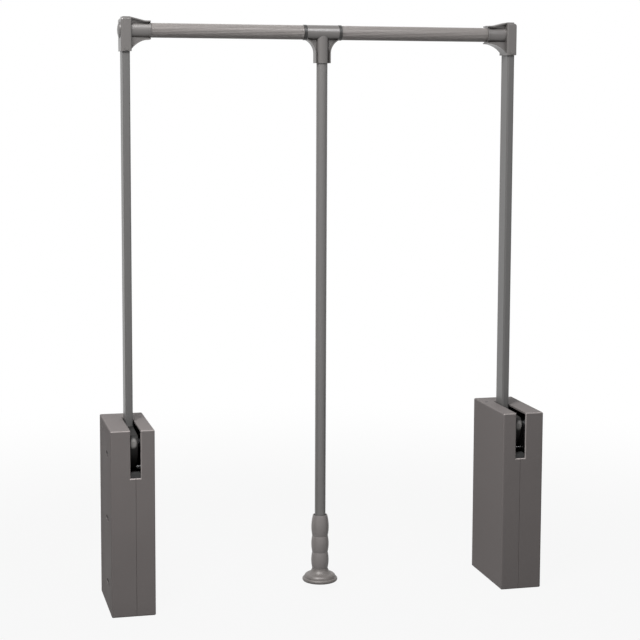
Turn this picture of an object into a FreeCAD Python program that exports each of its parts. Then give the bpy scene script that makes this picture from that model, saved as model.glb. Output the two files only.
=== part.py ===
"""Pull down closet rod: two spring-loaded side housings, swinging arms, a telescopic
hanging rod between them and a pull handle that hangs from the middle of the rod.

Units are millimetres. X runs along the rod, Y from front (-) to back (+), Z up. The
origin is on the floor, midway between the housings. Everything on one side is built in
a side frame with X = 0 in the arm's own plane and +X towards the middle of the rod. It
is then moved to the left, and mirrored for the right.
"""
import FreeCAD, Part
import math
import os

Vec = FreeCAD.Vector
os.makedirs("parts", exist_ok=True)

# Clearances
run_gap = 0.05          # radial gap of a running fit
seat_gap = 0.02         # radial gap where a piece is seated in another for good
body_gap = 0.3          # gap between faces that pass each other
mould_gap = 0.1         # gap between a moulding and what fits into it
past = 1.0              # how far a cut runs past the face that it opens
near = 0.01             # how far an edge may lie from the plane it is looked for in

# Housing
overall_width = 660.0   # outer face to outer face with the rod pushed together
housing_width = 64.0
housing_depth = 136.0
housing_height = 274.0
shell_wall = 2.5
shell_edge = 2.0        # radius of the housing's outer edges
seam_offset = 36.0      # outer face to the parting seam, where the arm swings
seam_reveal = 0.4       # width of the line between the two half shells
lip_depth = 2.2         # how far the outer shell's lip reaches into the cover
lip_wall = 1.0
slot_side_gap = 2.0     # arm to the side of its slot
slot_back_gap = 4.0     # arm to the back end of its slot
slot_edge = 1.2         # chamfer round the slot in the front
mark_line_inset = 27.0  # back edge to the moulded line on the outer face
mark_line_width = 1.2
mark_depth = 0.6
pip_diameter = 4.0
pip_top_inset = 11.0
pip_back_inset = 44.0

# Mounting holes in the outer face, on the 32 mm system
mount_diameter = 5.5
mount_inset = 45.0      # front edge to the row of holes
mount_spacing = 96.0
mount_count = 3
mount_access = 14.0     # driver holes in the inner cheek
dish_length = 24.0      # shallow dish round each hole
dish_height = 8.0

# Steel channel inside each housing
steel = 2.0
channel_front_inset = 8.0
channel_corner = 18.0
inner_cheek_offset = 20.5   # arm plane to the near face of the inner cheek
tab_width = 14.0

# Arm and its pivot
pivot_drop = 34.0       # housing top to the pivot
arm_offset = 14.0       # arm plane's middle behind the housing's middle
arm_length = 606.0      # pivot to rod axis
arm_depth = 30.0
arm_thickness = 11.0
arm_wall = 1.5
arm_corner = 2.6
swing = 100.0           # degrees, from upright to pulled down
axle_diameter = 10.0
axle_head = 14.0
axle_head_height = 1.8
bush_diameter = 14.0
bush_flange = 0.8
bush_flange_diameter = 19.0
spacer_diameter = 16.0

# Foot of the arm, with the spiral cam that works the spring
foot_thickness = 10.0
hub_radius = 16.0
hub_relief_angle = 12.0 # degrees behind the hub's lowest point where the cam's back starts
shoulder_height = 18.0  # pivot to the end of the arm tube
horn_height = 9.0       # upstand in front of the arm tube
horn_width = 2.5
tang_height = 60.0      # pivot to the end of the tang in the arm tube
tang_gap = 0.3
cam_start = 38.0        # pivot to the roller's centre with the arm upright
slider_travel = 43.6    # how far the cam pushes the slider down over the whole swing
cam_lead_in = 3.0       # degrees of cam before the upright position
nose_radius = 8.5
rivet_diameter = 5.0
rivet_head = 8.0
rivet_head_height = 1.2
rivet_height = 26.0     # pivot to the rivets
rivet_pitch = 14.0

# Slider, roller, spring and damper
roller_diameter = 18.0
roller_width = 9.6
roller_pin_diameter = 8.0
ear_thickness = 4.0
ear_gap = 0.6           # cam plate to each ear of the slider
ear_rim = 1.0           # how far the ears stand out past the roller
slider_plate = 5.0
slider_throat = 19.0    # roller's centre to the slider's plate
spring_diameter = 36.0
spring_wire = 5.0       # width of the spring's flat-sided wire, along the radius
spring_wire_height = 5.5
spring_turns = 10
spring_seat_height = 7.5
seat_rim = 1.0          # how far the seat stands out past the spring
spigot_height = 9.0
spigot_gap = 0.4
damper_back_gap = 5.5   # damper to the channel's back
damper_diameter = 16.0
damper_clear = 15.0         # damper to the rod's collar with the arm pulled down
damper_wall = 3.0
damper_gland = 8.0
damper_rod_diameter = 6.0
damper_piston = 6.0
damper_reserve = 27.5       # gland to the piston with the arm upright
damper_collar = 2.0

# Rubber buffers
top_buffer_diameter = 20.0
top_buffer_length = 24.0
top_buffer_height = 15.0    # pivot to the buffer bar
buffer_bar_diameter = 8.0
low_buffer_height = 6.3     # arm's lowest underside to the slot's lower end
low_buffer_depth = 8.5
low_buffer_seat = 7.0       # slot's lower end to the buffer's shelf
shelf_height = 4.0
shelf_margin = 1.0          # how far the shelf reaches past the buffer
shelf_width = 18.0

# Cover screws
screw_diameter = 3.0
screw_head = 5.0
screw_head_height = 1.1
screw_length = 9.0
top_screw_inset = 8.5       # inner face to the top screw
top_screw_back_inset = 36.0
low_screw_inset = 14.0
low_screw_spread = 90.0

# Elbow between arm and rod
rod_diameter = 21.2
rod_wall = 1.5
rod_inset = 1.0             # elbow's block to the end of the rod tube
flute_count = 30
flute_depth = 0.45
flute_land = 0.45           # share of the flutes' pitch that stays at full diameter
elbow_thickness = 15.5
elbow_depth = 35.0
elbow_rise = 19.0           # rod axis to the elbow's top
elbow_drop = 30.5           # rod axis to the elbow's lower end
elbow_corner = 4.0
elbow_edge = 2.0
elbow_reach = 28.5          # sleeve beyond the elbow's block
elbow_mouth = 28.0
elbow_sleeve = 25.6
elbow_lip = 8.5             # length of the plain lip at the mouth
elbow_draft = 0.3           # how much the sleeve's radius grows to its mouth
elbow_ring = 2.2            # width of the raised ring at the mouth
elbow_ring_step = 0.5       # how far that ring stands out from the lip
elbow_flange = 1.8
elbow_flange_width = 25.0
elbow_plate_inset = 3.0     # outer side to the end of the top flange
elbow_web = 15.0
elbow_gusset_drop = 28.0    # rod axis to the foot of the gusset
elbow_boss_diameter = 5.0   # small round boss low on the front
elbow_boss_height = 1.2
elbow_boss_rise = 3.6       # elbow's lower end to that boss
arm_tube_drop = 8.0         # rod axis to the top of the arm tube
cap_diameter = 23.0
cap_height = 3.2
cap_rim = 1.0
cap_spigot_diameter = 9.6
cap_spigot = 1.2
elbow_screw_diameter = 5.0
elbow_screw_head = 9.0
elbow_screw_head_height = 3.0
elbow_screw_recess = 5.0
plug_length = 18.0
plug_bite = 14.0            # screw thread in the plug

# Telescopic middle of the rod
inner_tube_diameter = 16.0
inner_tube_wall = 1.3
inner_end_gap = 11.0        # end of the inner tube to the plug in the rod tube
guide_length = 20.0
glide_length = 6.0
glide_spigot = 18.0
collar_width = 4.2
collar_diameter = 22.8

# Tee and pull handle
tee_length = 48.6
tee_diameter = 22.2
tee_socket_diameter = 20.0
tee_socket_drop = 45.0      # rod axis to the socket's mouth
tee_gusset_width = 23.4     # across the flanges at the socket's mouth
tee_gusset_straight = 14.0
tee_flange = 1.4
tee_flange_depth = 15.0
tee_web = 4.0
tee_screw_diameter = 4.0
tee_screw_height = 30.0     # rod axis to the cross screw
tee_screw_head = 7.0
tee_screw_head_height = 1.6
handle_diameter = 16.5
handle_wall = 1.2
handle_top_drop = 14.0
foot_clearance = 10.0       # floor to the handle's foot
grip_waist = 23.9
grip_crest = 26.8
grip_top_diameter = 21.8
grip_waves = 3
grip_wave = 25.4            # height of each wave below the top one
grip_top_wave = 32.6
grip_top_crest = 0.45       # share of the top wave's height that is below its crest
grip_mouth_diameter = 19.6
grip_mouth_depth = 3.0
foot_diameter = 54.0
foot_height = 20.0
foot_rim = 6.0              # height of the foot's rolled rim
foot_roll = 2.6             # how far that roll stands out from its ends
foot_flare = 6.0            # how far the neck's flare spreads before the skirt starts
foot_flare_drop = 8.0       # height of that flare
foot_flare_bulge = 1.1      # how far the flare's arc falls in from its chord
foot_skirt_bulge = 1.6      # how far the skirt's arc stands out from its chord
foot_wall = 3.2
foot_spigot = 20.0

# Places worked out from the sizes above, in the side frame
side_x = overall_width / 2 - seam_offset
outer_x = -seam_offset
inner_x = housing_width - seam_offset
front_y = -housing_depth / 2
back_y = housing_depth / 2
outer_wall_x = outer_x + shell_wall
inner_wall_x = inner_x - shell_wall
front_wall_y = front_y + shell_wall
back_wall_y = back_y - shell_wall
roof_z = housing_height - shell_wall
pivot_z = housing_height - pivot_drop
rod_z = pivot_z + arm_length
swing_rad = math.radians(swing)
slot_half = arm_thickness / 2 + slot_side_gap
slot_back_y = arm_offset + arm_depth / 2 + slot_back_gap
floor_z = shell_wall + steel
cheek_out = (outer_wall_x, outer_wall_x + steel)
cheek_in = (inner_cheek_offset, inner_cheek_offset + steel)
cheek_top = roof_z - steel
roller_z = pivot_z - cam_start
cam_rate = slider_travel / swing_rad
plate_z = roller_z - slider_throat - slider_plate
spring_low_z = floor_z + spring_seat_height
damper_top = plate_z - slider_travel - damper_collar - damper_clear
piston_z = damper_top - damper_gland - damper_reserve - damper_piston
damper_y = back_wall_y - steel - damper_back_gap - damper_diameter / 2
buffer_y = arm_offset + arm_depth / 2 + body_gap + top_buffer_diameter / 2
buffer_z = pivot_z + top_buffer_height
mount_y = front_y + mount_inset
mount_rows = [housing_height / 2 + (i - (mount_count - 1) / 2) * mount_spacing
              for i in range(mount_count)]
top_screw_x = inner_x - top_screw_inset
top_screw_y = back_y - top_screw_back_inset
low_screw_x = inner_x - low_screw_inset
low_screw_rows = (-low_screw_spread / 2, low_screw_spread / 2)
rod_bore = rod_diameter - 2 * rod_wall
elbow_face_x = elbow_thickness / 2
elbow_mouth_x = elbow_face_x + elbow_reach
rod_start_x = elbow_face_x + rod_inset
tee_half = tee_length / 2
collar_start = tee_half + body_gap
rod_end = collar_start + collar_width + body_gap
inner_half = side_x - rod_start_x - plug_length - inner_end_gap - glide_length
foot_top_z = foot_clearance + foot_height
grip_top_z = foot_top_z + (grip_waves - 1) * grip_wave + grip_top_wave


def box(x0, x1, y0, y1, z0, z1):
    return Part.makeBox(x1 - x0, y1 - y0, z1 - z0, Vec(x0, y0, z0))


def rod_along_x(radius, x0, x1, y, z):
    return Part.makeCylinder(radius, x1 - x0, Vec(x0, y, z), Vec(1, 0, 0))


def rod_along_y(radius, y0, y1, x, z):
    return Part.makeCylinder(radius, y1 - y0, Vec(x, y0, z), Vec(0, 1, 0))


def rod_along_z(radius, z0, z1, x, y):
    return Part.makeCylinder(radius, z1 - z0, Vec(x, y, z0), Vec(0, 0, 1))


def tube_along_x(outer, bore, x0, x1, y, z):
    return rod_along_x(outer, x0, x1, y, z).cut(rod_along_x(bore, x0 - past, x1 + past, y, z))


def join(shapes):
    body = shapes[0]
    if len(shapes) > 1:
        body = body.fuse(shapes[1:])
    return body.removeSplitter()


def edges_where(shape, test):
    return [edge for edge in shape.Edges if test(edge.CenterOfMass)]


def prism_along_x(edges, x0, x1):
    """Extrude a closed outline, given in the plane X = 0, from x0 to x1."""
    face = Part.Face(Part.Wire(edges))
    face.translate(Vec(x0, 0, 0))
    return face.extrude(Vec(x1 - x0, 0, 0))


def prism_along_y(edges, y0, y1):
    """Extrude a closed outline, given in the plane Y = 0, from y0 to y1."""
    face = Part.Face(Part.Wire(edges))
    face.translate(Vec(0, y0, 0))
    return face.extrude(Vec(0, y1 - y0, 0))


def lines_through(points):
    return [Part.LineSegment(a, b).toShape() for a, b in zip(points, points[1:])]


def spin(edges, axis_point):
    """Turn a closed outline in an XZ plane about the vertical line through axis_point."""
    face = Part.Face(Part.Wire(edges))
    return face.revolve(axis_point, Vec(0, 0, 1), 360)


def arm_underside(y):
    """Height of the pulled-down arm's lower face at depth y."""
    half = arm_depth / 2
    along = -(y - arm_offset + half * math.cos(swing_rad)) / math.sin(swing_rad)
    return pivot_z - half * math.sin(swing_rad) + along * math.cos(swing_rad)


slot_low_z = arm_underside(front_y) - low_buffer_height
shelf_z = slot_low_z - low_buffer_seat


# Housing

def half_shell(x_face, x_seam):
    """An open tray between the face plane and the seam plane, with rounded outer edges."""
    low, high = min(x_face, x_seam), max(x_face, x_seam)
    tray = box(low, high, front_y, back_y, 0, housing_height)
    tray = tray.makeFillet(shell_edge, edges_where(tray, lambda c: abs(c.x - x_seam) > near))
    inward = math.copysign(shell_wall, x_seam - x_face)
    low, high = sorted((x_face + inward, x_seam + inward))
    return tray.cut(box(low, high, front_wall_y, back_wall_y, shell_wall, roof_z))


def arm_slot():
    """Space that the arm needs through the roof and the front wall, whose edges are chamfered."""
    roof = box(-slot_half, slot_half, front_y - past, slot_back_y, roof_z - past, housing_height + past)
    front = box(-slot_half, slot_half, front_y - past, front_wall_y + past,
                slot_low_z, housing_height + past)
    wide = slot_half + slot_edge + past
    high = housing_height + past
    chamfer = Part.makeWedge(-wide, front_y - past, slot_low_z - slot_edge - past,
                             slot_low_z, -slot_half, wide, front_y + slot_edge, high,
                             high, slot_half)
    return roof.fuse(front).fuse(chamfer)


def buffer_shelf(x0, x1):
    return box(x0, x1, front_wall_y, front_wall_y + low_buffer_depth + shelf_margin,
               shelf_z - shelf_height, shelf_z)


def seam_lip():
    inset = shell_wall - lip_wall
    ring = box(-shell_wall, lip_depth, front_y + inset, back_y - inset,
               inset, housing_height - inset)
    return ring.cut(box(-shell_wall - past, lip_depth + past, front_wall_y, back_wall_y,
                        shell_wall, roof_z))


def mount_dish(z):
    """Shallow dish with round ends about a mounting hole, in the outer face."""
    x0, x1 = outer_x - past, outer_x + mark_depth
    radius = dish_height / 2
    y0, y1 = mount_y - dish_length / 2 + radius, mount_y + dish_length / 2 - radius
    return join([rod_along_x(radius, x0, x1, y0, z), rod_along_x(radius, x0, x1, y1, z),
                 box(x0, x1, y0, y1, z - radius, z + radius)])


def outer_shell():
    shell = join([half_shell(outer_x, 0), seam_lip(), buffer_shelf(-shelf_width / 2, 0)])
    cuts = [arm_slot()]
    for z in mount_rows:
        cuts.append(rod_along_x(mount_diameter / 2, outer_x - past, outer_wall_x + past, mount_y, z))
        cuts.append(mount_dish(z))
    line_y = back_y - mark_line_inset
    cuts.append(box(outer_x - past, outer_x + mark_depth, line_y - mark_line_width / 2,
                    line_y + mark_line_width / 2, pip_top_inset, housing_height - pip_top_inset))
    cuts.append(rod_along_x(pip_diameter / 2, outer_x - past, outer_x + mark_depth,
                            back_y - pip_back_inset, housing_height - pip_top_inset))
    return shell.cut(cuts)


def inner_cover():
    rebate_inset = shell_wall - lip_wall - mould_gap
    rebate = box(-past, lip_depth + mould_gap, front_y + rebate_inset, back_y - rebate_inset,
                 rebate_inset, housing_height - rebate_inset)
    cover = half_shell(inner_x, seam_reveal).cut(rebate)
    cover = join([cover, buffer_shelf(lip_depth + body_gap, shelf_width / 2)])
    cuts = [arm_slot()]
    head_room = screw_head_height + mould_gap
    for x, y, z, _ in cover_screw_seats():
        cuts.append(rod_along_z(screw_diameter / 2 + seat_gap, z - 2 * shell_wall,
                                z + 2 * shell_wall, x, y))
        cuts.append(rod_along_z(screw_head / 2 + mould_gap, z - head_room, z + head_room, x, y))
    return cover.cut(cuts)


def cover_screw_seats():
    """Where each cover screw's head lies: x, y, z of the wall's outer face, and its way out."""
    seats = [(top_screw_x, top_screw_y, housing_height, 1)]
    for y in low_screw_rows:
        seats.append((low_screw_x, y, 0, -1))
    return seats


def cover_screws():
    screws = []
    for x, y, z, up in cover_screw_seats():
        head = Part.makeCylinder(screw_head / 2, screw_head_height, Vec(x, y, z), Vec(0, 0, -up))
        shank = Part.makeCylinder(screw_diameter / 2, screw_length, Vec(x, y, z), Vec(0, 0, -up))
        screws.append(join([head, shank]))
    return Part.makeCompound(screws)


def cheek_outline(x0, x1):
    """A cheek of the channel: upright sheet with its upper front corner cut off."""
    front = front_wall_y + channel_front_inset
    points = [Vec(0, front, shell_wall), Vec(0, back_wall_y, shell_wall),
              Vec(0, back_wall_y, cheek_top), Vec(0, front + channel_corner, cheek_top),
              Vec(0, front, cheek_top - channel_corner), Vec(0, front, shell_wall)]
    return prism_along_x(lines_through(points), x0, x1)


def roller_slot(x0, x1):
    """Upright slot in a cheek that guides the roller pin over its travel."""
    radius = roller_pin_diameter / 2 + body_gap
    high = roller_z + body_gap
    low = roller_z - slider_travel - body_gap
    y = arm_offset
    return join([rod_along_x(radius, x0, x1, y, high), rod_along_x(radius, x0, x1, y, low),
                 box(x0, x1, y - radius, y + radius, low, high)])


def base_channel():
    front = front_wall_y + channel_front_inset
    web = box(cheek_out[0], cheek_in[1], back_wall_y - steel, back_wall_y, shell_wall, cheek_top)
    floor = box(cheek_out[0], cheek_in[1], front, back_wall_y, shell_wall, floor_z)
    tab = box(top_screw_x - tab_width / 2, inner_wall_x - body_gap, top_screw_y - tab_width / 2,
              top_screw_y + tab_width / 2, cheek_top, roof_z)
    tab = tab.cut(box(-slot_half - past, slot_half, front_y, back_y, 0, housing_height))
    channel = join([cheek_outline(*cheek_out), cheek_outline(*cheek_in), web, floor, tab])
    x0, x1 = cheek_out[0] - past, cheek_in[1] + past
    cuts = [rod_along_x(axle_diameter / 2 + seat_gap, x0, x1, arm_offset, pivot_z),
            rod_along_x(buffer_bar_diameter / 2 + seat_gap, x0, x1, buffer_y, buffer_z),
            roller_slot(x0, x1)]
    for z in mount_rows:
        cuts.append(rod_along_x(mount_diameter / 2, x0, 0, mount_y, z))
        cuts.append(rod_along_x(mount_access / 2, 0, x1, mount_y, z))
    for x, y, z, _ in cover_screw_seats():
        cuts.append(rod_along_z(screw_diameter / 2 + seat_gap, z - 2 * floor_z,
                                z + 2 * floor_z, x, y))
    cuts.append(rod_along_z(damper_rod_diameter / 2 + seat_gap, 0, 2 * floor_z, 0, damper_y))
    return channel.cut(cuts)


# Pivot and arm

def pivot_axle():
    shank = rod_along_x(axle_diameter / 2, cheek_out[0], cheek_in[1], arm_offset, pivot_z)
    head = rod_along_x(axle_head / 2, cheek_in[1], cheek_in[1] + axle_head_height,
                       arm_offset, pivot_z)
    return join([shank, head])


def axle_spacers():
    inner_end = foot_thickness / 2 + bush_flange + body_gap
    spacers = []
    for x0, x1 in ((cheek_out[1], -inner_end), (inner_end, cheek_in[0])):
        spacers.append(tube_along_x(spacer_diameter / 2, axle_diameter / 2 + seat_gap,
                                    x0, x1, arm_offset, pivot_z))
    return Part.makeCompound(spacers)


def pivot_bush():
    half = foot_thickness / 2
    flange_end = half + bush_flange
    sleeve = rod_along_x(bush_diameter / 2, -half, half, arm_offset, pivot_z)
    flanges = [rod_along_x(bush_flange_diameter / 2, x0, x1, arm_offset, pivot_z)
               for x0, x1 in ((-flange_end, -half), (half, flange_end))]
    bush = join([sleeve] + flanges)
    return bush.cut(rod_along_x(axle_diameter / 2 + run_gap, -flange_end - past, flange_end + past,
                                arm_offset, pivot_z))


def cam_frame(turn):
    """Roller centre and the direction from it to the cam, in the foot's plane, for a turn
    of the arm. The roller stays straight below the pivot, so seen from the foot it moves
    forward and up along a spiral."""
    rho = cam_start + cam_rate * turn
    radial = Vec(0, -math.sin(turn), -math.cos(turn))
    along = Vec(0, -math.cos(turn), math.sin(turn))
    to_cam = (along * cam_rate - radial * rho).normalize()
    return radial * rho, to_cam


def cam_point(turn):
    centre, to_cam = cam_frame(turn)
    return centre + to_cam * (roller_diameter / 2 + body_gap)


def arm_foot():
    """Flat foot with hub, spiral cam edge below and in front, rounded nose and a tang."""
    steps = 10
    first = -math.radians(cam_lead_in)
    turns = [first + (swing_rad - first) * i / steps for i in range(steps + 1)]
    cam = Part.BSplineCurve()
    cam.interpolate([cam_point(turn) for turn in turns])
    cam_end = cam_point(swing_rad)
    nose = cam_end + cam_frame(swing_rad)[1] * nose_radius
    half_arm = arm_depth / 2
    hub_relief = math.radians(hub_relief_angle)
    horn = Vec(0, -half_arm - tang_gap - horn_width, shoulder_height + horn_height)
    slope = (horn - nose).normalize()
    nose_top = nose + Vec(0, -slope.z, slope.y) * nose_radius
    outline = [cam_end, nose, nose_top, horn,
               Vec(0, -half_arm - tang_gap, shoulder_height + horn_height),
               Vec(0, -half_arm - tang_gap, shoulder_height),
               Vec(0, half_arm, shoulder_height), Vec(0, hub_radius, 0),
               Vec(0, math.sin(hub_relief), -math.cos(hub_relief)) * hub_radius,
               cam_point(first)]
    half = foot_thickness / 2
    plate = prism_along_x([cam.toShape()] + lines_through(outline), -half, half)
    hub = rod_along_x(hub_radius, -half, half, 0, 0)
    nose_disc = rod_along_x(nose_radius, -half, half, nose.y, nose.z)
    tang_y = half_arm - arm_wall - tang_gap
    tang_x = arm_thickness / 2 - arm_wall - tang_gap
    tang = box(-tang_x, tang_x, -tang_y, tang_y, shoulder_height - past, tang_height)
    foot = join([plate, hub, nose_disc, tang])
    cuts = [rod_along_x(bush_diameter / 2 + seat_gap, -half - past, half + past, 0, 0)]
    for y in (-rivet_pitch / 2, rivet_pitch / 2):
        cuts.append(rod_along_x(rivet_diameter / 2 + seat_gap, -half, half, y, rivet_height))
    foot = foot.cut(cuts)
    foot.translate(Vec(0, arm_offset, pivot_z))
    return foot


def arm_section(inset, z0, z1):
    """Upright bar with the arm's rounded section, made smaller all round by inset."""
    half_x = arm_thickness / 2 - inset
    half_y = arm_depth / 2 - inset
    bar = box(-half_x, half_x, arm_offset - half_y, arm_offset + half_y, z0, z1)
    middle = (z0 + z1) / 2
    corner = max(arm_corner - inset, 0.5)
    return bar.makeFillet(corner, edges_where(bar, lambda c: abs(c.z - middle) < near))


def arm_tube():
    z0, z1 = pivot_z + shoulder_height, rod_z - arm_tube_drop
    tube = arm_section(0, z0, z1).cut(arm_section(arm_wall, z0 - past, z1 + past))
    holes = [rod_along_x(rivet_diameter / 2 + seat_gap, -arm_thickness, arm_thickness,
                         arm_offset + y, pivot_z + rivet_height)
             for y in (-rivet_pitch / 2, rivet_pitch / 2)]
    return tube.cut(holes)


def arm_rivets():
    half = arm_thickness / 2
    head_end = half + rivet_head_height
    z = pivot_z + rivet_height
    rivets = []
    for y in (arm_offset - rivet_pitch / 2, arm_offset + rivet_pitch / 2):
        rivets.append(join([rod_along_x(rivet_diameter / 2, -head_end, head_end, y, z),
                            rod_along_x(rivet_head / 2, -head_end, -half, y, z),
                            rod_along_x(rivet_head / 2, half, head_end, y, z)]))
    return Part.makeCompound(rivets)


# Slider, roller, spring and damper

def slider():
    ear_in = foot_thickness / 2 + ear_gap
    ear_out = ear_in + ear_thickness
    ear_half = roller_diameter / 2 + ear_rim
    y = arm_offset
    plate_top = plate_z + slider_plate
    pieces = [rod_along_z(spring_diameter / 2, plate_z, plate_top, 0, y),
              rod_along_z(spring_diameter / 2 - spring_wire - spigot_gap,
                          plate_z - spigot_height, plate_z, 0, y),
              rod_along_z(damper_diameter / 2, plate_z, plate_top, 0, damper_y),
              box(-damper_diameter / 2, damper_diameter / 2, y, damper_y, plate_z, plate_top)]
    for x0, x1 in ((-ear_out, -ear_in), (ear_in, ear_out)):
        pieces.append(box(x0, x1, y - ear_half, y + ear_half, plate_top, roller_z))
        pieces.append(rod_along_x(ear_half, x0, x1, y, roller_z))
    body = join(pieces)
    cuts = [rod_along_x(roller_pin_diameter / 2 + seat_gap, -ear_out - past, ear_out + past,
                        y, roller_z),
            rod_along_z(damper_rod_diameter / 2 + seat_gap, plate_z - past, plate_top + past,
                        0, damper_y)]
    return body.cut(cuts)


def roller_pin():
    return rod_along_x(roller_pin_diameter / 2, outer_wall_x + body_gap,
                       inner_wall_x - 2 * body_gap, arm_offset, roller_z)


def follower_roller():
    return tube_along_x(roller_diameter / 2, roller_pin_diameter / 2 + run_gap,
                        -roller_width / 2, roller_width / 2, arm_offset, roller_z)


def spring():
    """Compression spring of flat-sided wire, between its seat and the slider's plate."""
    radius = (spring_diameter - spring_wire) / 2
    height = plate_z - spring_low_z - spring_wire_height
    helix = Part.makeHelix(height / spring_turns, height, radius)
    in_x, out_x = radius - spring_wire / 2, radius + spring_wire / 2
    half = spring_wire_height / 2
    section = [Vec(in_x, 0, -half), Vec(out_x, 0, -half), Vec(out_x, 0, half),
               Vec(in_x, 0, half), Vec(in_x, 0, -half)]
    coil = Part.Wire(helix).makePipeShell([Part.Wire(lines_through(section))], True, True)
    coil.translate(Vec(0, arm_offset, spring_low_z + half))
    return coil


def spring_seat():
    return join([rod_along_z(spring_diameter / 2 + seat_rim, floor_z, spring_low_z, 0, arm_offset),
                 rod_along_z(spring_diameter / 2 - spring_wire - spigot_gap, spring_low_z,
                             spring_low_z + spigot_height, 0, arm_offset)])


def damper_body():
    """Hollow cylinder that stands on the channel's floor on a stud."""
    body = join([rod_along_z(damper_diameter / 2, floor_z, damper_top, 0, damper_y),
                 rod_along_z(damper_rod_diameter / 2, shell_wall, floor_z, 0, damper_y)])
    cuts = [rod_along_z(damper_diameter / 2 - damper_wall, floor_z + damper_wall,
                        damper_top - damper_gland, 0, damper_y),
            rod_along_z(damper_rod_diameter / 2 + run_gap, floor_z + damper_wall,
                        damper_top + past, 0, damper_y)]
    return body.cut(cuts)


def damper_rod():
    """Piston, rod, collar under the slider's lug and riveted end above it."""
    top = plate_z + slider_plate
    collar = damper_rod_diameter / 2 + damper_collar
    return join([rod_along_z(damper_rod_diameter / 2, piston_z, top + damper_collar,
                             0, damper_y),
                 rod_along_z(damper_diameter / 2 - damper_wall - run_gap, piston_z,
                             piston_z + damper_piston, 0, damper_y),
                 rod_along_z(collar, plate_z - damper_collar, plate_z, 0, damper_y),
                 rod_along_z(collar, top, top + damper_collar, 0, damper_y)])


# Buffers

def buffer_bar():
    return rod_along_x(buffer_bar_diameter / 2, cheek_out[0], cheek_in[1], buffer_y, buffer_z)


def top_buffer():
    return tube_along_x(top_buffer_diameter / 2, buffer_bar_diameter / 2 + seat_gap,
                        -top_buffer_length / 2, top_buffer_length / 2, buffer_y, buffer_z)


def low_buffer():
    """Block that the pulled-down arm comes to rest on, cut to the arm's slope."""
    y0 = front_wall_y
    y1 = front_wall_y + low_buffer_depth
    points = [Vec(0, y0, shelf_z), Vec(0, y1, shelf_z), Vec(0, y1, arm_underside(y1) - body_gap),
              Vec(0, y0, arm_underside(y0) - body_gap), Vec(0, y0, shelf_z)]
    half = slot_half - body_gap
    return prism_along_x(lines_through(points), -half, half)


# Elbow, its cap, screw and plug

def arc_radius(run, rise):
    """Radius of an arc that starts level and gains rise over run."""
    return (run * run + rise * rise) / (2 * rise)


def elbow_side_view(inset):
    """Outline of sleeve, top rib and lower gusset in the plane Y = 0, drawn in by inset."""
    mouth_half = elbow_mouth / 2 - elbow_ring_step - inset
    top = elbow_rise - inset
    radius = arc_radius(elbow_reach, elbow_gusset_drop - mouth_half - inset) + inset
    lip_x = elbow_mouth_x - elbow_lip
    plate_x = elbow_plate_inset - elbow_face_x
    centre = Vec(elbow_mouth_x, 0, -mouth_half - radius)
    lean = math.asin((elbow_mouth_x - elbow_face_x) / radius)
    gusset = Part.Arc(Vec(elbow_mouth_x, 0, -mouth_half),
                      centre + Vec(-math.sin(lean / 2), 0, math.cos(lean / 2)) * radius,
                      centre + Vec(-math.sin(lean), 0, math.cos(lean)) * radius).toShape()
    foot = centre.z + math.cos(lean) * radius
    points = [Vec(elbow_face_x, 0, foot), Vec(plate_x, 0, foot), Vec(plate_x, 0, top),
              Vec(elbow_face_x - elbow_edge, 0, top), Vec(lip_x, 0, mouth_half),
              Vec(elbow_mouth_x, 0, mouth_half), Vec(elbow_mouth_x, 0, -mouth_half)]
    return [gusset] + lines_through(points)


def elbow():
    """Moulded elbow: a block on the arm, and a sleeve with rib and gusset for the rod."""
    half = elbow_thickness / 2
    y0, y1 = -elbow_depth / 2, elbow_depth / 2
    shoulder = elbow_rise - elbow_flange
    block = box(-half, half, y0, y1, -elbow_drop, shoulder)
    block = block.makeFillet(elbow_corner, edges_where(
        block, lambda c: c.x < -half + near and c.z > shoulder - near))
    block = block.makeFillet(elbow_edge, edges_where(
        block, lambda c: abs(c.y) > y1 - near and c.z > near - elbow_drop))
    ribbed = prism_along_y(elbow_side_view(0), -elbow_flange_width / 2, elbow_flange_width / 2)
    inner = elbow_side_view(elbow_flange)
    pockets = [prism_along_y(inner, -elbow_flange_width, -elbow_web / 2),
               prism_along_y(inner, elbow_web / 2, elbow_flange_width)]
    ribbed = ribbed.cut(pockets)
    sleeve = Part.makeCone(elbow_sleeve / 2, elbow_sleeve / 2 + elbow_draft, elbow_reach,
                           Vec(half, 0, 0), Vec(1, 0, 0))
    ring = rod_along_x(elbow_mouth / 2, elbow_mouth_x - elbow_ring, elbow_mouth_x, 0, 0)
    boss = rod_along_y(elbow_boss_diameter / 2, y0 - elbow_boss_height, y0 + elbow_edge,
                       0, elbow_boss_rise - elbow_drop)
    body = block.fuse(ribbed).fuse(sleeve).fuse(ring).fuse(boss).removeSplitter()
    body.translate(Vec(0, arm_offset, rod_z))
    cuts = [arm_section(-mould_gap, rod_z - elbow_drop - past,
                        rod_z - arm_tube_drop + mould_gap),
            rod_along_x(rod_diameter / 2 + seat_gap, rod_start_x, elbow_mouth_x + past,
                        arm_offset, rod_z),
            rod_along_x(elbow_screw_diameter / 2 + seat_gap, -half, rod_start_x + past,
                        arm_offset, rod_z),
            rod_along_x(elbow_screw_head / 2 + body_gap, -half - past,
                        -half + elbow_screw_recess, arm_offset, rod_z)]
    return body.cut(cuts)


def elbow_screw():
    seat = -elbow_thickness / 2 + elbow_screw_recess
    return join([rod_along_x(elbow_screw_head / 2, seat - elbow_screw_head_height, seat,
                             arm_offset, rod_z),
                 rod_along_x(elbow_screw_diameter / 2, seat, rod_start_x + plug_bite,
                             arm_offset, rod_z)])


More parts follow.
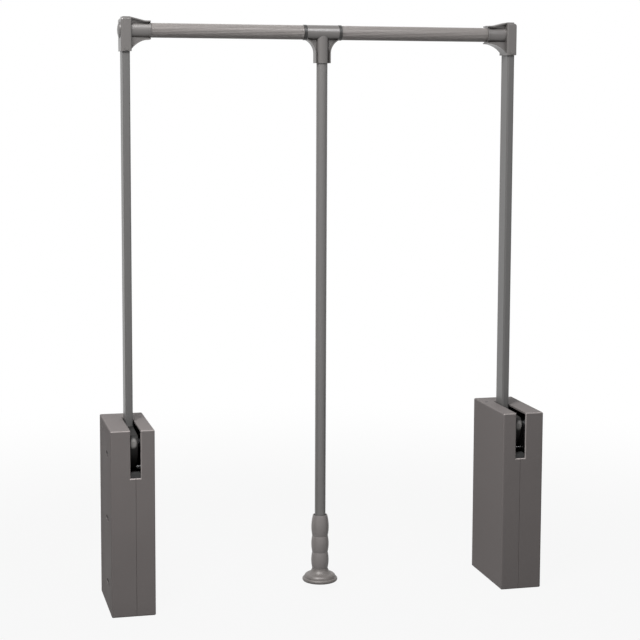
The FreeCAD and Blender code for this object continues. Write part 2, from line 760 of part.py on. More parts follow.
def elbow_cap():
    """Domed cap over the elbow screw, held by a short spigot in the screw's recess."""
    face = -elbow_thickness / 2
    radius = cap_diameter / 2
    sphere = arc_radius(radius, cap_height - cap_rim)
    centre = Vec(face - cap_height + sphere, 0, 0)
    half_lean = math.asin(radius / sphere) / 2
    dome = Part.Arc(Vec(face - cap_rim, 0, radius),
                    centre + Vec(-math.cos(half_lean), 0, math.sin(half_lean)) * sphere,
                    Vec(face - cap_height, 0, 0)).toShape()
    points = [Vec(face - cap_height, 0, 0), Vec(face, 0, 0), Vec(face, 0, radius),
              Vec(face - cap_rim, 0, radius)]
    disc = Part.Face(Part.Wire([dome] + lines_through(points)))
    disc = disc.revolve(Vec(0, 0, 0), Vec(1, 0, 0), 360)
    spigot = rod_along_x(cap_spigot_diameter / 2 - mould_gap, face, face + cap_spigot, 0, 0)
    cap = join([disc, spigot])
    cap.translate(Vec(0, arm_offset, rod_z))
    return cap


def rod_plug():
    return tube_along_x(rod_bore / 2 - seat_gap, elbow_screw_diameter / 2 + seat_gap,
                        rod_start_x, rod_start_x + plug_length, arm_offset, rod_z)


# Rod

def fluted_bar(length):
    """Bar along X from the origin, with rounded flutes along its whole outside."""
    step = 2 * math.pi / flute_count
    radius = rod_diameter / 2

    def spot(angle, r):
        return Vec(0, r * math.cos(angle), r * math.sin(angle))

    edges = []
    for i in range(flute_count):
        start = i * step
        land_end = start + step * flute_land
        edges.append(Part.Arc(spot(start, radius), spot((start + land_end) / 2, radius),
                              spot(land_end, radius)).toShape())
        edges.append(Part.Arc(spot(land_end, radius),
                              spot((land_end + start + step) / 2, radius - flute_depth),
                              spot(start + step, radius)).toShape())
    return Part.Face(Part.Wire(edges)).extrude(Vec(length, 0, 0))


def rod_tube():
    length = side_x - rod_start_x - rod_end
    tube = fluted_bar(length)
    tube.translate(Vec(rod_start_x, arm_offset, rod_z))
    return tube.cut(rod_along_x(rod_bore / 2, 0, rod_start_x + length + past, arm_offset, rod_z))


def guide_bush():
    end = side_x - rod_end
    return tube_along_x(rod_bore / 2 - seat_gap, inner_tube_diameter / 2 + run_gap,
                        end - guide_length, end, arm_offset, rod_z)


def inner_tube():
    return tube_along_x(inner_tube_diameter / 2, inner_tube_diameter / 2 - inner_tube_wall,
                        -inner_half, inner_half, arm_offset, rod_z)


def inner_tube_glides():
    """End plugs of the inner tube, which glide in the rod tubes."""
    glides = []
    bore = inner_tube_diameter / 2 - inner_tube_wall
    for side in (-1, 1):
        head = sorted((side * inner_half, side * (inner_half + glide_length)))
        stem = sorted((side * inner_half, side * (inner_half - glide_spigot)))
        glides.append(join([
            rod_along_x(rod_bore / 2 - mould_gap, *head, arm_offset, rod_z),
            rod_along_x(bore - seat_gap, *stem, arm_offset, rod_z)]))
    return Part.makeCompound(glides)


def stop_collars():
    """Collars on the inner tube that keep the tee in its place and stop the rod tubes."""
    collars = []
    for x0, x1 in ((-collar_start - collar_width, -collar_start),
                   (collar_start, collar_start + collar_width)):
        collars.append(tube_along_x(collar_diameter / 2, inner_tube_diameter / 2 + seat_gap,
                                    x0, x1, arm_offset, rod_z))
    return Part.makeCompound(collars)


# Tee and handle

def tee_side_view(inset):
    """Half outline of the tee's gussets in the plane Y = 0, drawn in by inset."""
    foot_x = tee_gusset_width / 2
    low = -tee_socket_drop
    bend_z = low + tee_gusset_straight
    rise = -tee_diameter / 2 - bend_z
    run = tee_half - foot_x
    radius = arc_radius(rise, run)
    centre = Vec(foot_x + radius, 0, bend_z)
    end_turn = math.asin(rise / radius)
    radius += inset

    def spot(turn):
        return centre + Vec(-math.cos(turn), 0, math.sin(turn)) * radius

    gusset = Part.Arc(spot(0), spot(end_turn / 2), spot(end_turn)).toShape()
    end = spot(end_turn)
    points = [end, Vec(end.x, 0, 0), Vec(0, 0, 0), Vec(0, 0, low), Vec(foot_x - inset, 0, low),
              spot(0)]
    return [gusset] + lines_through(points)


def tee():
    """Moulded tee: a sleeve that turns on the inner tube, and a socket for the handle."""
    depth = tee_flange_depth / 2
    gussets = prism_along_y(tee_side_view(0), -depth, depth)
    inner = tee_side_view(tee_flange)
    gussets = gussets.cut([prism_along_y(inner, -depth - past, -tee_web / 2),
                           prism_along_y(inner, tee_web / 2, depth + past)])
    mirrored = gussets.mirror(Vec(0, 0, 0), Vec(1, 0, 0))
    sleeve = rod_along_x(tee_diameter / 2, -tee_half, tee_half, 0, 0)
    socket = rod_along_z(tee_socket_diameter / 2, -tee_socket_drop, 0, 0, 0)
    body = join([gussets, mirrored, sleeve, socket])
    cuts = [rod_along_x(inner_tube_diameter / 2 + run_gap, -tee_half - past, tee_half + past, 0, 0),
            rod_along_z(handle_diameter / 2 + seat_gap, -tee_socket_drop - past,
                        -handle_top_drop, 0, 0),
            rod_along_y(tee_screw_diameter / 2 + seat_gap, 0, tee_socket_diameter,
                        0, -tee_screw_height),
            rod_along_y(tee_screw_head / 2 + seat_gap,
                        tee_socket_diameter / 2 - tee_screw_head_height,
                        tee_socket_diameter, 0, -tee_screw_height)]
    body = body.cut(cuts)
    body.translate(Vec(0, arm_offset, rod_z))
    return body


def tee_screw():
    head_y = tee_socket_diameter / 2
    tip_y = handle_wall / 2 - handle_diameter / 2
    screw = join([rod_along_y(tee_screw_diameter / 2, tip_y, head_y,
                              0, -tee_screw_height),
                  rod_along_y(tee_screw_head / 2, head_y - tee_screw_head_height, head_y,
                              0, -tee_screw_height)])
    screw.translate(Vec(0, arm_offset, rod_z))
    return screw


def handle_tube():
    z1 = rod_z - handle_top_drop
    radius = handle_diameter / 2
    tube = rod_along_z(radius, foot_top_z, z1, 0, arm_offset)
    tube = tube.cut(rod_along_z(radius - handle_wall, foot_top_z - past, z1 + past, 0, arm_offset))
    return tube.cut(rod_along_y(tee_screw_diameter / 2 + seat_gap, arm_offset - radius,
                                arm_offset + radius, 0, rod_z - tee_screw_height))


def grip():
    """Handle grip with rounded finger waves and a sunk mouth round the tube."""
    waist, crest, top = grip_waist / 2, grip_crest / 2, grip_top_diameter / 2
    bore = handle_diameter / 2 + mould_gap
    low = foot_top_z
    waves = []
    for i in range(grip_waves - 1):
        waves.append(Part.Arc(Vec(waist, 0, low), Vec(crest, 0, low + grip_wave / 2),
                              Vec(waist, 0, low + grip_wave)).toShape())
        low += grip_wave
    waves.append(Part.Arc(Vec(waist, 0, low), Vec(crest, 0, low + grip_top_wave * grip_top_crest),
                          Vec(top, 0, grip_top_z)).toShape())
    mouth = grip_mouth_diameter / 2
    points = [Vec(top, 0, grip_top_z), Vec(mouth, 0, grip_top_z),
              Vec(mouth, 0, grip_top_z - grip_mouth_depth),
              Vec(bore, 0, grip_top_z - grip_mouth_depth), Vec(bore, 0, foot_top_z),
              Vec(waist, 0, foot_top_z)]
    body = spin(waves + lines_through(points), Vec(0, 0, 0))
    body.translate(Vec(0, arm_offset, 0))
    return body


def bulged_arc(start, end, bulge):
    """Arc in the plane Y = 0 that stands out from its chord, to the left of its way."""
    chord = end - start
    side = Vec(-chord.z, 0, chord.x).normalize()
    return Part.Arc(start, (start + end) / 2 + side * bulge, end).toShape()


def grip_foot():
    """Flared foot, hollow below, with a spigot up into the handle tube."""
    rim = foot_diameter / 2
    neck = grip_waist / 2
    low = foot_clearance
    flare_z = foot_top_z - foot_flare_drop
    neck_top = Vec(neck, 0, foot_top_z)
    flare_end = Vec(neck + foot_flare, 0, flare_z)
    rim_top = Vec(rim - foot_roll, 0, low + foot_rim)
    rim_low = Vec(rim - foot_roll, 0, low)
    flare = bulged_arc(neck_top, flare_end, -foot_flare_bulge)
    skirt = bulged_arc(flare_end, rim_top, foot_skirt_bulge)
    edge = bulged_arc(rim_top, rim_low, foot_roll)
    spigot = handle_diameter / 2 - handle_wall - seat_gap
    spigot_top = foot_top_z + foot_spigot
    points = [rim_low, Vec(rim - foot_rim, 0, low),
              Vec(neck + foot_wall, 0, flare_z - foot_wall), Vec(0, 0, flare_z - foot_wall),
              Vec(0, 0, spigot_top), Vec(spigot, 0, spigot_top), Vec(spigot, 0, foot_top_z),
              neck_top]
    body = spin([flare, skirt, edge] + lines_through(points), Vec(0, 0, 0))
    body.translate(Vec(0, arm_offset, 0))
    return body


side_parts = {
    "outer_shell": outer_shell, "inner_cover": inner_cover, "cover_screws": cover_screws,
    "base_channel": base_channel, "pivot_axle": pivot_axle, "axle_spacers": axle_spacers,
    "pivot_bush": pivot_bush, "arm_foot": arm_foot, "arm_tube": arm_tube,
    "arm_rivets": arm_rivets, "slider": slider, "roller_pin": roller_pin,
    "follower_roller": follower_roller, "spring": spring, "spring_seat": spring_seat,
    "damper_body": damper_body, "damper_rod": damper_rod, "buffer_bar": buffer_bar,
    "top_buffer": top_buffer, "low_buffer": low_buffer, "elbow": elbow,
    "elbow_screw": elbow_screw, "elbow_cap": elbow_cap, "rod_plug": rod_plug,
    "rod_tube": rod_tube, "guide_bush": guide_bush,
}
middle_parts = {
    "inner_tube": inner_tube, "inner_tube_glides": inner_tube_glides,
    "stop_collars": stop_collars, "tee": tee, "tee_screw": tee_screw,
    "handle_tube": handle_tube, "grip": grip, "grip_foot": grip_foot,
}

for name, build in side_parts.items():
    left = build()
    left.translate(Vec(-side_x, 0, 0))
    left.exportStep("parts/left_%s.step" % name)
    left.mirror(Vec(0, 0, 0), Vec(1, 0, 0)).exportStep("parts/right_%s.step" % name)

for name, build in middle_parts.items():
    build().exportStep("parts/%s.step" % name)
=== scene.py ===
"""Materials, light and camera for the pull down closet rod."""
import bpy
import math
from mathutils import Matrix, Vector


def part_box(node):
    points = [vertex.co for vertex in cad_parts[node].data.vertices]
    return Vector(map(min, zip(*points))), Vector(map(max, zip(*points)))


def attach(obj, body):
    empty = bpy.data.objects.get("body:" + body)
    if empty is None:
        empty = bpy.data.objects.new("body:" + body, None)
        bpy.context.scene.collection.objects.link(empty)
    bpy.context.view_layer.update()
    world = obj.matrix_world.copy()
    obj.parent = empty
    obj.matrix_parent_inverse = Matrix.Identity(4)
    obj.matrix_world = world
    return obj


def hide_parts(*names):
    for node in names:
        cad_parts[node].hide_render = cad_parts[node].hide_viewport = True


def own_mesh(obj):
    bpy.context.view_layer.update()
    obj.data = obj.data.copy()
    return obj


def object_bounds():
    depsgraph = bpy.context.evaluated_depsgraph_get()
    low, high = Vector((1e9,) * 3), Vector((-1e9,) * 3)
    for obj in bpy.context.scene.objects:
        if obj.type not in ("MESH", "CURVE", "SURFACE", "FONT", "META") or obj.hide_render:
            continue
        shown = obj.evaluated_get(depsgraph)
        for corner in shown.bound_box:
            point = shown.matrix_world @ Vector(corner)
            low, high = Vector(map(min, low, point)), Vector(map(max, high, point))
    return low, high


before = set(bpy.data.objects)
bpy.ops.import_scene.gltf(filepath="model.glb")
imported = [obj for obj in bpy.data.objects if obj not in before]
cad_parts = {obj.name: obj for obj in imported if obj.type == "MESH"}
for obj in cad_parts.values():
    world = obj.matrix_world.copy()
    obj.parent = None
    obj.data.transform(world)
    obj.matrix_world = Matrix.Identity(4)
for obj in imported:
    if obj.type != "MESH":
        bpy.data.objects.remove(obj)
cad_low, cad_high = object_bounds()

# Camera: a long lens, in front and to the left, level with the upper part of the arms
CAMERA_PLACE = Vector((-0.5946, -2.3521, 0.7490))
CAMERA_YAW = 0.2455         # radians, turned towards +X
CAMERA_PITCH = 0.1047       # radians, looking down
CAMERA_ROLL = 0.0041        # radians
CAMERA_LENS = 91.3          # millimetres
CAMERA_SENSOR = 36.0        # millimetres
CAMERA_SHIFT_Y = -0.08      # share of the picture's width

# Backdrop: the white that the camera, shiny surfaces and glass see around the object
BACKDROP_STRENGTH = 1.0

# Sky: soft light from the surroundings, each strength along a part of the direction
SKY_HIGH = 0.25             # strength from above
SKY_RISE = (0.05, 0.20)     # upward parts over which it begins
SKY_LOW = (0.20, 0.05)      # strength near the horizon, on the left and on the right
SKY_TURN = (-0.75, 0.45)    # parts to +X over which it falls off
SKY_BACK = 1.4              # strength behind the object
SKY_BEHIND = (-0.1, 0.7)    # parts to +Y over which it begins

# Lamps, with sizes and places in metres and powers in watts
KEY_SIZE = (0.7, 0.9)                       # high in front, on the left
KEY_PLACE = Vector((-0.75, -0.92, 1.92))
KEY_POWER = 53.0
FILL_SIZE = (0.4, 0.4)                      # low in front, for the right housing's inner side
FILL_PLACE = Vector((-0.26, -0.62, 0.30))
FILL_POWER = 0.9
GLEAM_SIZE = (0.35, 0.9)                    # high in front, on the right, for highlights
GLEAM_PLACE = Vector((0.37, -1.11, 1.80))
GLEAM_POWER = 8.0
GLEAM_COLOUR = (0.95, 0.97, 1.0)

# Floor
FLOOR_SIZE = 30.0           # metres, each way
FLOOR_GREY = 0.12
FLOOR_VARIATION = 0.03      # share by which the grey changes
FLOOR_CLOUDS = 3.0          # clouds in a metre
FLOOR_GLOW_NEAR = 0.92      # share of the floor's look that is the backdrop's white
FLOOR_GLOW_REACH = (0.5, 1.6)   # metres over which that share grows to all of it

# Noise
NOISE_MIDDLE = (0.3, 0.7)   # where most of its values lie

# Places on the pieces, in metres. A stretch is one over the half sizes of a spot.
NOSE_PLACE = (0.2955, -0.0580, 0.2530)      # front of the arm foot's rounded nose
NOSE_STRETCH = (1 / 0.0062, 1 / 0.0150, 1 / 0.0090)
NOSE_FADE = (0.45, 1.05)                    # stretched distances over which its painted highlight ends
SLOT_EDGE_PLACE = (0.2940, 0.0, 0.0)        # middle plane of the arm's slot
SLOT_EDGE_FADE = (0.009, 0.011)             # distances from it over which the rim's painted highlight ends
RECESS_FLOOR = (0.3288, 0.3291)             # between the wall's inside and the marks' floor
RECESS_RIM = (0.3296, 0.3299)               # between the marks' floor and the outer face
HOLE_SIDE = 0.3285                          # middle of the wall that a dish leaves
HOLE_INSET = 0.045                          # front edge to the row of mounting holes
HOLE_SPACING = 0.096
HOLE_STRETCH = (1 / 0.0014, 1 / 0.0040, 1 / 0.0040)
HOLE_FADE = (0.8, 1.0)                      # stretched distances over which its painted shade ends

# Parts of a surface's normal
EDGE_TURN = (0.80, 0.97)    # its largest part, from a rounded edge to a flat face
RIM_TILT = (0.2, 0.5)       # up and to the front or back, where a rim of the top begins
SIDE_TILT = (0.85, 0.95)    # to the side, from a sloping to a flat face

# Painted highlights on rims and on the foot's nose, painted shade in recesses: factors for the
# colour, and the roughness that comes with them
EDGE_HIGHLIGHT_TINT = 2.2
EDGE_ROUGHNESS = 0.28
SLOT_HIGHLIGHT_SHARE = 0.6       # of the painted highlight that the top's rims have
RECESS_SHADE_TINT = 0.35
NOSE_HIGHLIGHT_TINT = 18.0
NOSE_ROUGHNESS = 0.30


# Node helpers

def feed(tree, target, value):
    """Link a socket to an input, or set the input to a plain value."""
    if isinstance(value, bpy.types.NodeSocket):
        tree.links.new(value, target)
    else:
        target.default_value = value


def node(tree, kind, **settings):
    """Add a node; a setting whose name starts with in_ goes to the input of that name."""
    made = tree.nodes.new("ShaderNode" + kind)
    for key, value in settings.items():
        if key.startswith("in_"):
            feed(tree, made.inputs[key[3:].replace("_", " ")], value)
        else:
            setattr(made, key, value)
    return made


def combine(tree, operation, *values):
    """One Math operation over two or more values, from left to right."""
    result = values[0]
    for value in values[1:]:
        made = node(tree, "Math", operation=operation)
        feed(tree, made.inputs[0], result)
        feed(tree, made.inputs[1], value)
        result = made.outputs[0]
    return result


def product(tree, *values):
    return combine(tree, "MULTIPLY", *values)


def largest_of(tree, *values):
    return combine(tree, "MAXIMUM", *values)


def vector_result(tree, operation, *vectors):
    """One VectorMath operation that gives a vector."""
    made = node(tree, "VectorMath", operation=operation)
    for target, vector in zip(made.inputs, vectors):
        feed(tree, target, vector)
    return made.outputs["Vector"]


def length_of(tree, vector):
    return node(tree, "VectorMath", operation="LENGTH", in_Vector=vector).outputs["Value"]


def mix(tree, kind, share, first, second):
    """Lead the first value over to the second one as the share goes from 0 to 1."""
    made = node(tree, "Mix", data_type=kind, in_Factor=share, in_A=first, in_B=second)
    return made.outputs["Result"]


def blend_colours(tree, share, first, second):
    return mix(tree, "RGBA", share, (*first, 1), (*second, 1))


def map_range(tree, value, start, end, low, high, curve="LINEAR"):
    """Map a value's range from start to end onto the range from low to high."""
    made = node(tree, "MapRange", interpolation_type=curve, in_Value=value, in_From_Min=start,
                in_From_Max=end, in_To_Min=low, in_To_Max=high)
    return made.outputs["Result"]


def ramp(tree, value, start, end, low=0.0, high=1.0):
    """Smooth step of a value from low at the start to high at the end."""
    return map_range(tree, value, start, end, low, high, "SMOOTHSTEP")


def spread(tree, value, low, high):
    """Map the middle of a noise to the range from low to high."""
    return map_range(tree, value, *NOISE_MIDDLE, low, high)


def object_coords(tree, stretch=(1, 1, 1)):
    """Place on the object in metres, stretched by one factor for each axis."""
    place = node(tree, "TexCoord").outputs["Object"]
    return node(tree, "Mapping", in_Vector=place, in_Scale=stretch).outputs["Vector"]


def noise(tree, scale, stretch=(1, 1, 1), detail=2.0):
    made = node(tree, "TexNoise", in_Vector=object_coords(tree, stretch), in_Scale=scale,
                in_Detail=detail)
    return made.outputs["Fac"]


def sizes_of(tree, vector):
    """The three parts of a vector, each without its sign."""
    return node(tree, "SeparateXYZ", in_Vector=vector_result(tree, "ABSOLUTE", vector)).outputs


def off_place(tree, centre, stretch):
    """How far a point is from a centre, each axis weighed; both halves of X count alike."""
    side = vector_result(tree, "ABSOLUTE", object_coords(tree, (1, 0, 0)))
    folded = vector_result(tree, "ADD", side, object_coords(tree, (0, 1, 1)))
    away = vector_result(tree, "SUBTRACT", folded, centre)
    return length_of(tree, vector_result(tree, "MULTIPLY", away, stretch))


# Finishes

def shade(colour, factor):
    return tuple(min(1.0, channel * factor) for channel in colour)


def finish_with(name, colour, variation, roughness, grain, metallic=0.0, specular=0.5,
                stretch=(1, 1, 1), cloud_scale=14.0, grain_depth=0.00001):
    """A surface with cloudy colour, uneven gloss and a fine grain.

    colour is linear, variation the share by which it changes, and roughness a (low, high)
    pair. cloud_scale and grain say how many clouds and grains there are in a metre, stretch
    changes that along each axis, and grain_depth is the grain's height in metres."""
    material = bpy.data.materials.new(name)
    material.use_nodes = True
    tree = material.node_tree
    clouds = noise(tree, cloud_scale, stretch, detail=4.0)
    specks = noise(tree, grain, stretch)
    mean = product(tree, combine(tree, "ADD", clouds, specks), 0.5)
    tint = blend_colours(tree, spread(tree, mean, 0, 1),
                         shade(colour, 1 - variation), shade(colour, 1 + variation))
    relief = node(tree, "Bump", in_Height=specks, in_Distance=grain_depth).outputs["Normal"]
    shader = tree.nodes["Principled BSDF"]
    for socket, value in (("Base Color", tint), ("Metallic", metallic),
                          ("Roughness", spread(tree, clouds, *roughness)),
                          ("Specular IOR Level", specular), ("Normal", relief)):
        feed(tree, shader.inputs[socket], value)
    return material


def tint_where(material, mask, factor, roughness=None):
    """Multiply a finish's colour by a factor, and change its gloss, where the mask is 1."""
    tree = material.node_tree
    shader = tree.nodes["Principled BSDF"]
    colour = shader.inputs["Base Color"].links[0].from_socket
    tinted = node(tree, "VectorMath", operation="SCALE", in_Vector=colour, in_Scale=factor)
    feed(tree, shader.inputs["Base Color"], mix(tree, "RGBA", mask, colour, tinted.outputs[0]))
    if roughness is not None:
        plain = shader.inputs["Roughness"].links[0].from_socket
        feed(tree, shader.inputs["Roughness"], mix(tree, "FLOAT", mask, plain, roughness))


def edge_highlight_mask(tree):
    """Where a painted highlight goes: 1 on the front and back rims of the top, and less on the
    rim of the slot.
    """
    side, front, up = sizes_of(tree, node(tree, "TexCoord").outputs["Normal"])
    turning = ramp(tree, largest_of(tree, side, front, up), *EDGE_TURN, 1.0, 0.0)
    rim = product(tree, ramp(tree, up, *RIM_TILT), ramp(tree, front, *RIM_TILT))
    slot = ramp(tree, off_place(tree, SLOT_EDGE_PLACE, (1, 0, 0)), *SLOT_EDGE_FADE,
                SLOT_HIGHLIGHT_SHARE, 0.0)
    return product(tree, turning, largest_of(tree, rim, slot))


def recess_shade_mask(tree):
    """Where painted shade goes: 1 in the dishes, the line and the pip of the outer face, and
    in its holes.
    """
    side = sizes_of(tree, node(tree, "TexCoord").outputs["Normal"])[0]
    off_middle = sizes_of(tree, object_coords(tree))[0]
    mask = product(tree, ramp(tree, off_middle, *RECESS_FLOOR),
                   ramp(tree, off_middle, *RECESS_RIM, 1.0, 0.0), ramp(tree, side, *SIDE_TILT))
    low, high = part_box("left_outer_shell")
    for row in (-1, 0, 1):
        place = (HOLE_SIDE, low[1] + HOLE_INSET, (low[2] + high[2]) / 2 + row * HOLE_SPACING)
        hole = ramp(tree, off_place(tree, place, HOLE_STRETCH), *HOLE_FADE, 1.0, 0.0)
        mask = largest_of(tree, mask, hole)
    return mask


def housing_plastic():
    """Matt plastic with a painted highlight on its glossier rims and painted shade in its
    recesses.
    """
    material = finish_with("housing_plastic", colour=(0.130, 0.118, 0.115), variation=0.05,
                           roughness=(0.60, 0.70), grain=2200.0, specular=0.05,
                           grain_depth=0.00002)
    # painted highlight on the rims of the top and of the slot
    tint_where(material, edge_highlight_mask(material.node_tree), EDGE_HIGHLIGHT_TINT, EDGE_ROUGHNESS)
    # painted shade in the dishes, line, pip and holes of the outer face
    tint_where(material, recess_shade_mask(material.node_tree), RECESS_SHADE_TINT)
    return material


def moulding():
    return finish_with("moulding", colour=(0.115, 0.108, 0.104), variation=0.03,
                       roughness=(0.30, 0.34), grain=1500.0, metallic=0.35, specular=0.8)


def arm_metal():
    return finish_with("arm_metal", colour=(0.108, 0.1055, 0.1035), variation=0.03,
                       roughness=(0.32, 0.40), grain=900.0, metallic=0.2, specular=0.3,
                       stretch=(1, 1, 0.04), grain_depth=0.000002)


def rod_metal():
    return finish_with("rod_metal", colour=(0.178, 0.1645, 0.157), variation=0.01,
                       roughness=(0.31, 0.34), grain=1400.0, metallic=0.2, specular=0.3,
                       stretch=(0.03, 1, 1), grain_depth=0.000002)


def handle_metal():
    return finish_with("handle_metal", colour=(0.138, 0.133, 0.130), variation=0.03,
                       roughness=(0.32, 0.40), grain=900.0, metallic=0.2, specular=0.3,
                       stretch=(1, 1, 0.04), grain_depth=0.000002)


def inner_metal():
    return finish_with("inner_metal", colour=(0.40, 0.38, 0.36), variation=0.05,
                       roughness=(0.25, 0.35), grain=1200.0, metallic=0.8,
                       stretch=(0.03, 1, 1), grain_depth=0.000002)


def grip_plastic():
    return finish_with("grip_plastic", colour=(0.176, 0.163, 0.159), variation=0.04,
                       roughness=(0.40, 0.50), grain=2600.0, metallic=0.15, specular=0.3)


def foot_plastic():
    return finish_with("foot_plastic", colour=(0.135, 0.123, 0.117), variation=0.04,
                       roughness=(0.42, 0.50), grain=1500.0, metallic=0.2, specular=0.4)


def collar_plastic():
    return finish_with("collar_plastic", colour=(0.015, 0.014, 0.013), variation=0.2,
                       roughness=(0.35, 0.5), grain=2000.0)


def foot_steel():
    """Dark steel, with a painted highlight on the foot's rounded nose."""
    material = finish_with("foot_steel", colour=(0.014, 0.0135, 0.013), variation=0.15,
                           roughness=(0.45, 0.55), grain=1800.0, specular=0.15)
    tree = material.node_tree
    # painted highlight on the foot's rounded nose
    nose_highlight = ramp(tree, off_place(tree, NOSE_PLACE, NOSE_STRETCH), *NOSE_FADE, 1.0, 0.0)
    tint_where(material, nose_highlight, NOSE_HIGHLIGHT_TINT, NOSE_ROUGHNESS)
    return material


def channel_steel():
    return finish_with("channel_steel", colour=(0.055, 0.055, 0.056), variation=0.10,
                       roughness=(0.38, 0.48), grain=500.0, metallic=0.5, cloud_scale=60.0)


def pin_steel():
    return finish_with("pin_steel", colour=(0.50, 0.50, 0.51), variation=0.06,
                       roughness=(0.18, 0.28), grain=2500.0, metallic=1.0, stretch=(4, 1, 1))


def screw_steel():
    return finish_with("screw_steel", colour=(0.016, 0.016, 0.017), variation=0.12,
                       roughness=(0.46, 0.56), grain=2000.0, specular=0.08)


def spring_steel():
    return finish_with("spring_steel", colour=(0.30, 0.31, 0.32), variation=0.10,
                       roughness=(0.25, 0.38), grain=1500.0, metallic=0.9)


def nylon():
    return finish_with("nylon", colour=(0.72, 0.70, 0.62), variation=0.04,
                       roughness=(0.35, 0.45), grain=1800.0)


def damper_metal():
    return finish_with("damper_metal", colour=(0.45, 0.45, 0.47), variation=0.05,
                       roughness=(0.25, 0.35), grain=1500.0, metallic=0.9, stretch=(1, 1, 6))


def rubber():
    return finish_with("rubber", colour=(0.012, 0.012, 0.012), variation=0.25,
                       roughness=(0.7, 0.8), grain=1200.0)


FINISHES = {
    housing_plastic: ("outer_shell", "inner_cover"),
    channel_steel: ("base_channel",),
    pin_steel: ("pivot_axle", "axle_spacers", "roller_pin", "damper_rod"),
    screw_steel: ("cover_screws", "elbow_screw", "tee_screw", "arm_rivets", "buffer_bar"),
    spring_steel: ("spring",),
    foot_steel: ("arm_foot", "slider"),
    arm_metal: ("arm_tube",),
    rod_metal: ("rod_tube",),
    inner_metal: ("inner_tube",),
    handle_metal: ("handle_tube",),
    moulding: ("elbow", "elbow_cap", "tee"),
    grip_plastic: ("grip",),
    foot_plastic: ("grip_foot",),
    collar_plastic: ("stop_collars", "guide_bush", "pivot_bush", "follower_roller"),
    nylon: ("spring_seat", "rod_plug", "inner_tube_glides"),
    damper_metal: ("damper_body",),
    rubber: ("top_buffer", "low_buffer"),
}


def dress_nodes():
    for make, kinds in FINISHES.items():
        material = make()
        for name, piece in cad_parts.items():
            kind = name.removeprefix("left_").removeprefix("right_")
            if kind in kinds:
                piece.data.materials.clear()
                piece.data.materials.append(material)


# Pieces

def compressing_springs():
    """Copies of the springs, each carried by its housing, in place of the solid springs."""
    for side in ("left", "right"):
        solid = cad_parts[f"{side}_spring"]
        coil = bpy.data.objects.new(f"{side}_spring_coil", solid.data.copy())
        bpy.context.scene.collection.objects.link(coil)
        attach(coil, f"{side}_housing")
        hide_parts(f"{side}_spring")
        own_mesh(coil)


# Stage

def backdrop_rays(tree):
    """1 for rays of the camera, of shiny surfaces and of glass, 0 for the rest."""
    path = node(tree, "LightPath").outputs
    return largest_of(tree, path["Is Camera Ray"], path["Is Glossy Ray"],
                      path["Is Transmission Ray"])


def floor_glow(tree):
    """Share of white in the floor's look: less of it near the object, to keep its shadow."""
    away = length_of(tree, object_coords(tree))
    return ramp(tree, away, *FLOOR_GLOW_REACH, FLOOR_GLOW_NEAR, 1.0)


def make_floor():
    half = FLOOR_SIZE / 2
    mesh = bpy.data.meshes.new("floor")
    mesh.from_pydata([(-half, -half, 0), (half, -half, 0), (half, half, 0), (-half, half, 0)],
                     [], [(0, 1, 2, 3)])
    floor = bpy.data.objects.new("floor", mesh)
    bpy.context.scene.collection.objects.link(floor)
    material = bpy.data.materials.new("floor_white")
    material.use_nodes = True
    tree = material.node_tree
    tree.nodes.clear()
    grey = (FLOOR_GREY,) * 3
    tint = blend_colours(tree, noise(tree, FLOOR_CLOUDS),
                         shade(grey, 1 - FLOOR_VARIATION), shade(grey, 1 + FLOOR_VARIATION))
    matt = node(tree, "BsdfDiffuse", in_Color=tint)
    glow = node(tree, "Emission", in_Strength=BACKDROP_STRENGTH)
    share = product(tree, backdrop_rays(tree), floor_glow(tree))
    mixed = node(tree, "MixShader")
    for target, source in zip(mixed.inputs, (share, matt.outputs[0], glow.outputs[0])):
        feed(tree, target, source)
    node(tree, "OutputMaterial", in_Surface=mixed.outputs[0])
    mesh.materials.append(material)


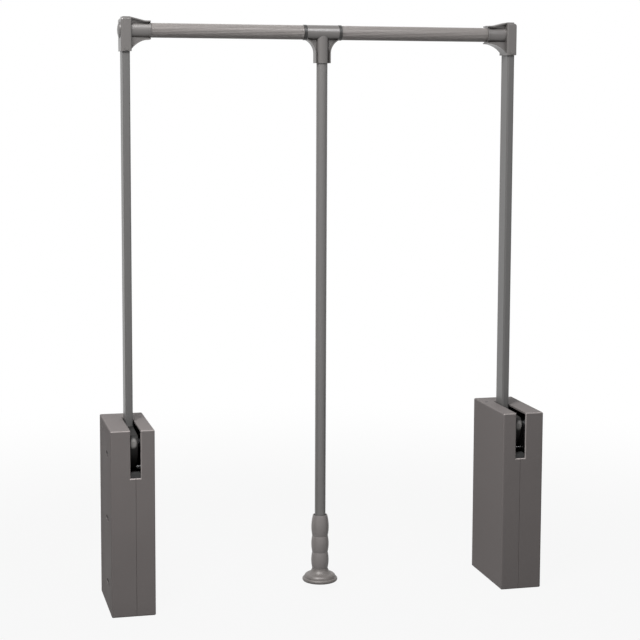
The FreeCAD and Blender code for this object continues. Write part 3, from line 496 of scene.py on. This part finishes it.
def make_sky():
    """A white backdrop that gives soft light, more of it from above, behind and the left."""
    world = bpy.data.worlds.new("studio")
    bpy.context.scene.world = world
    world.use_nodes = True
    tree = world.node_tree
    direction = node(tree, "TexCoord").outputs["Generated"]
    parts = node(tree, "SeparateXYZ", in_Vector=direction).outputs
    above = ramp(tree, parts["Z"], *SKY_RISE, 0.0, SKY_HIGH)
    beside = ramp(tree, parts["X"], *SKY_TURN, *SKY_LOW)
    behind = ramp(tree, parts["Y"], *SKY_BEHIND, 0.0, SKY_BACK)
    light = largest_of(tree, above, beside, behind)
    strength = map_range(tree, backdrop_rays(tree), 0.0, 1.0, light, BACKDROP_STRENGTH)
    background = tree.nodes["Background"]
    feed(tree, background.inputs["Color"], (1, 1, 1, 1))
    feed(tree, background.inputs["Strength"], strength)


def softbox(name, size, place, target, power, colour=(1.0, 1.0, 1.0), mirrored=True):
    """A lamp that looks at a target; one that isn't mirrored leaves no highlight."""
    light = bpy.data.lights.new(name, "AREA")
    light.shape = "RECTANGLE"
    light.size, light.size_y = size
    light.energy = power
    light.color = colour
    lamp = bpy.data.objects.new(name, light)
    lamp.location = place
    lamp.rotation_euler = (target - place).to_track_quat("-Z", "Y").to_euler()
    lamp.visible_camera = False
    lamp.visible_glossy = mirrored
    bpy.context.scene.collection.objects.link(lamp)


def make_lamps():
    middle = (cad_low + cad_high) / 2
    right_side = Vector((cad_high.x, 0, middle.z))
    softbox("key", KEY_SIZE, KEY_PLACE, middle, KEY_POWER)
    softbox("fill", FILL_SIZE, FILL_PLACE, right_side, FILL_POWER, mirrored=False)
    softbox("gleam", GLEAM_SIZE, GLEAM_PLACE, middle, GLEAM_POWER, GLEAM_COLOUR)


def make_camera():
    data = bpy.data.cameras.new("camera")
    data.lens = CAMERA_LENS
    data.sensor_width = CAMERA_SENSOR
    data.shift_y = CAMERA_SHIFT_Y
    camera = bpy.data.objects.new("camera", data)
    turn = (Matrix.Rotation(-CAMERA_YAW, 4, "Z")
            @ Matrix.Rotation(math.pi / 2 - CAMERA_PITCH, 4, "X")
            @ Matrix.Rotation(CAMERA_ROLL, 4, "Z"))
    camera.matrix_world = Matrix.Translation(CAMERA_PLACE) @ turn
    bpy.context.scene.collection.objects.link(camera)
    bpy.context.scene.camera = camera


dress_nodes()
compressing_springs()
make_floor()
make_sky()
make_lamps()
make_camera()
bpy.context.scene.view_settings.view_transform = "Standard"
